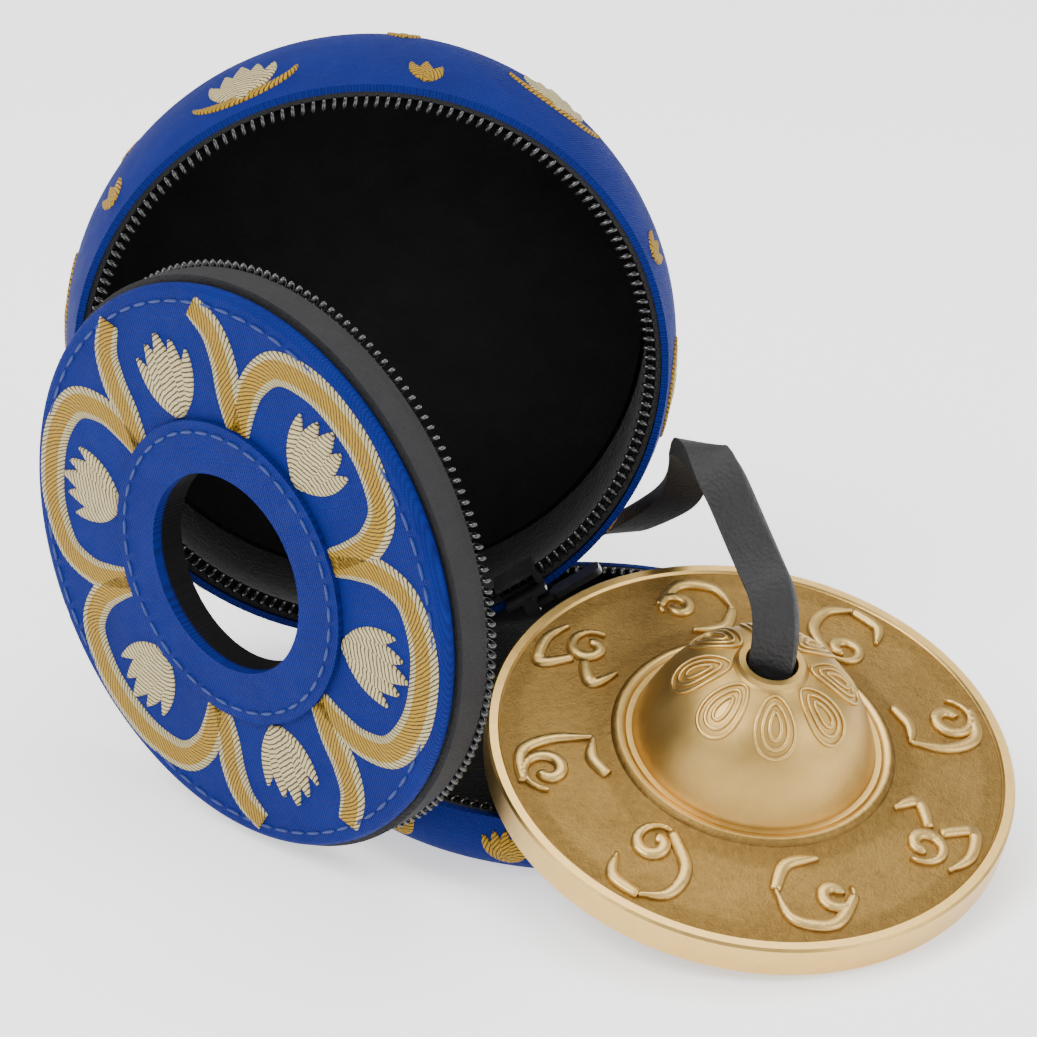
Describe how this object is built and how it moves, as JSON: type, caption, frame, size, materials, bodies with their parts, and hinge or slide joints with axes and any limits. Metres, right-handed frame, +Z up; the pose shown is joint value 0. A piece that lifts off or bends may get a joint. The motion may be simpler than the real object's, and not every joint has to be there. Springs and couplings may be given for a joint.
{
  "type": "hand cymbals",
  "caption": "Thick-lipped bell cymbals joined by a flat leather strap, beside a round zip case that stands open with a window lid and an unzipped back cover.",
  "frame": {"origin": "centre of the flat underside of the back cover, on the table", "axes": "+Z up, the case's front opening faces -Y, the front cymbal lies towards +X -Y, the lid is hinged at -X"},
  "size_m": [0.1202, 0.1685, 0.0889],
  "materials": {
    "blue_brocade": "woven brocade with embroidery",
    "stiff_board": "plain board, hidden between cloths",
    "black_velvet": "short pile velvet",
    "black_tape": "woven tape",
    "black_coil": "moulded nylon coil",
    "antique_brass": "cast, darkened in the lows and rubbed bright on the highs",
    "black_leather": "waxed strap with raw edges",
    "slider_metal": "black enamel"
  },
  "bodies": {
    "back_cover": {"back_cover_shell": "blue_brocade", "back_cover_board": "stiff_board", "back_cover_lining": "black_velvet", "back_cover_tape": "black_tape", "back_cover_coil": "black_coil"},
    "case_body": {"body_shell": "blue_brocade", "body_board": "stiff_board", "front_lining": "black_velvet", "rear_lining": "black_velvet", "divider": "black_velvet", "front_tape": "black_tape", "rear_tape": "black_tape", "front_coil": "black_coil", "rear_coil": "black_coil"},
    "lid_hinge": {"hinge_strip": "black_tape"},
    "window_lid": {"lid_face": "blue_brocade", "window_collar": "blue_brocade", "lid_board": "stiff_board", "lid_lining": "black_velvet", "lid_tape": "black_tape", "lid_gusset": "black_tape", "lid_coil": "black_coil"},
    "front_zip_slider": {"front_slider": "slider_metal"},
    "front_zip_pull": {"front_pull": "slider_metal"},
    "rear_zip_slider": {"rear_slider": "slider_metal"},
    "rear_zip_pull": {"rear_pull": "slider_metal"},
    "pair_strap": {"strap": "black_leather", "knot_front": "black_leather", "knot_rear": "black_leather"},
    "front_cymbal": {"cymbal_front": "antique_brass"},
    "rear_cymbal": {"cymbal_rear": "antique_brass"}
  },
  "joints": [
    {"name": "body_lift", "type": "slide", "parent": "back_cover", "child": "case_body", "axis": [0, 0, 1], "range_m": [0, 0.12]},
    {"name": "lid_swing", "type": "hinge", "parent": "case_body", "child": "lid_hinge", "pos_m": [-0.0656, 0.0073, 0.0491], "axis": [0, 0, 1], "range_deg": [0, 43.9]},
    {"name": "lid_sag", "type": "hinge", "parent": "lid_hinge", "child": "window_lid", "pos_m": [-0.0656, 0.0073, 0.0491], "axis": [-0.6934, -0.7206, 0], "range_deg": [0, 18.7]},
    {"name": "front_slider_travel", "type": "hinge", "parent": "case_body", "child": "front_zip_slider", "pos_m": [-0.0267, 0.0083, 0.0491], "axis": [0, -1, 0], "range_deg": [-76, 188]},
    {"name": "front_pull_swing", "type": "hinge", "parent": "front_zip_slider", "child": "front_zip_pull", "pos_m": [-0.00622, 0.0071, 0.01632], "axis": [0, 1, 0], "range_deg": [0, 100]},
    {"name": "rear_slider_travel", "type": "hinge", "parent": "case_body", "child": "rear_zip_slider", "pos_m": [-0.0267, 0.0323, 0.0491], "axis": [0, -1, 0], "range_deg": [0, 264]},
    {"name": "rear_pull_swing", "type": "hinge", "parent": "rear_zip_slider", "child": "rear_zip_pull", "pos_m": [-0.05355, 0.0335, 0.0213], "axis": [0, 1, 0], "range_deg": [0, 100]},
    {"name": "pair_lift", "type": "slide", "parent": "back_cover", "child": "pair_strap", "axis": [0.7071, 0, 0.7071], "range_m": [0, 0.08]},
    {"name": "front_cymbal_spin", "type": "hinge", "parent": "pair_strap", "child": "front_cymbal", "pos_m": [0.01856, -0.02611, 0.0102], "axis": [0.1044, -0.2838, 0.9532], "continuous": true},
    {"name": "rear_cymbal_spin", "type": "hinge", "parent": "pair_strap", "child": "rear_cymbal", "pos_m": [-0.0254, 0.0776, 0], "axis": [0, 0, 1], "continuous": true}
  ],
  "couplings": [
    {"joint": "lid_swing", "follows": "body_lift", "rad_per_m": 6.385},
    {"joint": "lid_sag", "follows": "body_lift", "rad_per_m": 2.7198}
  ]
}
